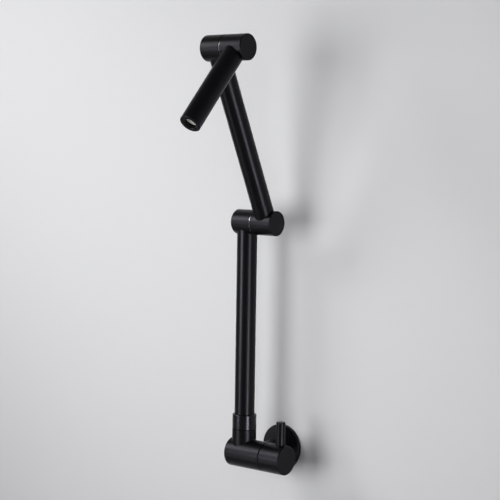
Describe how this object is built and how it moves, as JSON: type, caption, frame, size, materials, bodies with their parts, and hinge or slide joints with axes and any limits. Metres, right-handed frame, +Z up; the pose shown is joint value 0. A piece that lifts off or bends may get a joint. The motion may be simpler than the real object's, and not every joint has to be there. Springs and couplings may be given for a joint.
{
  "type": "wall-mounted folding kitchen tap",
  "caption": "Matt black folding kitchen tap for a wall: quarter-turn valve with a pin lever, swivelling lower arm, upper arm and short spout on stiff hollow pivots.",
  "frame": {"origin": "on the wall, at the centre of the inlet pipe", "axes": "+Y into the wall along the inlet, +X right along the wall, +Z up; the front faces -Y"},
  "size_m": [0.0836, 0.2357, 0.4758],
  "materials": {
    "black_coat": "satin black coating on brass",
    "brass": "turned",
    "stainless_steel": "bright",
    "seal_rubber": "moulded",
    "acetal": "moulded",
    "ceramic": "lapped alumina"
  },
  "bodies": {
    "wall_valve": {"wall_flange": "black_coat", "flange_seal": "seal_rubber", "inlet_pipe": "brass", "inlet_seal": "seal_rubber", "valve_body": "black_coat", "cartridge_housing": "brass", "cartridge_seal": "seal_rubber", "seat_seal": "seal_rubber", "fixed_disc": "ceramic", "swivel_collar": "black_coat", "swivel_bush": "acetal"},
    "handle": {"moving_disc": "ceramic", "cartridge_stem": "brass", "stem_seals": "seal_rubber", "stem_clip": "stainless_steel", "handle_knob": "black_coat", "handle_screw": "stainless_steel", "handle_cap": "black_coat", "handle_lever": "black_coat"},
    "lower_arm": {"swivel_spigot": "brass", "spigot_seals": "seal_rubber", "lower_tube": "black_coat", "middle_inlet_half": "black_coat", "middle_inlet_cap": "black_coat", "middle_inlet_cap_seal": "seal_rubber", "middle_bolt": "brass", "middle_bolt_seals": "seal_rubber", "middle_seam_washer": "acetal", "middle_friction_washer": "acetal", "middle_disc_spring": "stainless_steel", "middle_nut": "brass"},
    "upper_arm": {"middle_outlet_half": "black_coat", "middle_outlet_cap": "black_coat", "middle_outlet_cap_seal": "seal_rubber", "upper_tube": "black_coat", "top_inlet_half": "black_coat", "top_inlet_cap": "black_coat", "top_inlet_cap_seal": "seal_rubber", "top_bolt": "brass", "top_bolt_seals": "seal_rubber", "top_seam_washer": "acetal", "top_friction_washer": "acetal", "top_disc_spring": "stainless_steel", "top_nut": "brass"},
    "spout": {"top_outlet_half": "black_coat", "top_outlet_cap": "black_coat", "top_outlet_cap_seal": "seal_rubber", "spout_tube": "black_coat", "spout_nozzle": "black_coat", "flow_straightener": "acetal", "nozzle_seal": "seal_rubber"}
  },
  "joints": [
    {"name": "base_swivel", "type": "hinge", "parent": "wall_valve", "child": "lower_arm", "pos_m": [-0.011, -0.056, 0], "axis": [0, 0, 1], "range_deg": [-120, 75]},
    {"name": "middle_pivot", "type": "hinge", "parent": "lower_arm", "child": "upper_arm", "pos_m": [0.0017, -0.056, 0.255], "axis": [1, 0, 0], "range_deg": [-35, 125]},
    {"name": "top_pivot", "type": "hinge", "parent": "upper_arm", "child": "spout", "pos_m": [0.0286, -0.14158, 0.43687], "axis": [1, 0, 0], "range_deg": [-113, 67]},
    {"name": "handle_turn", "type": "hinge", "parent": "wall_valve", "child": "handle", "pos_m": [0, -0.056, 0], "axis": [1, 0, 0], "range_deg": [0, 90]}
  ]
}
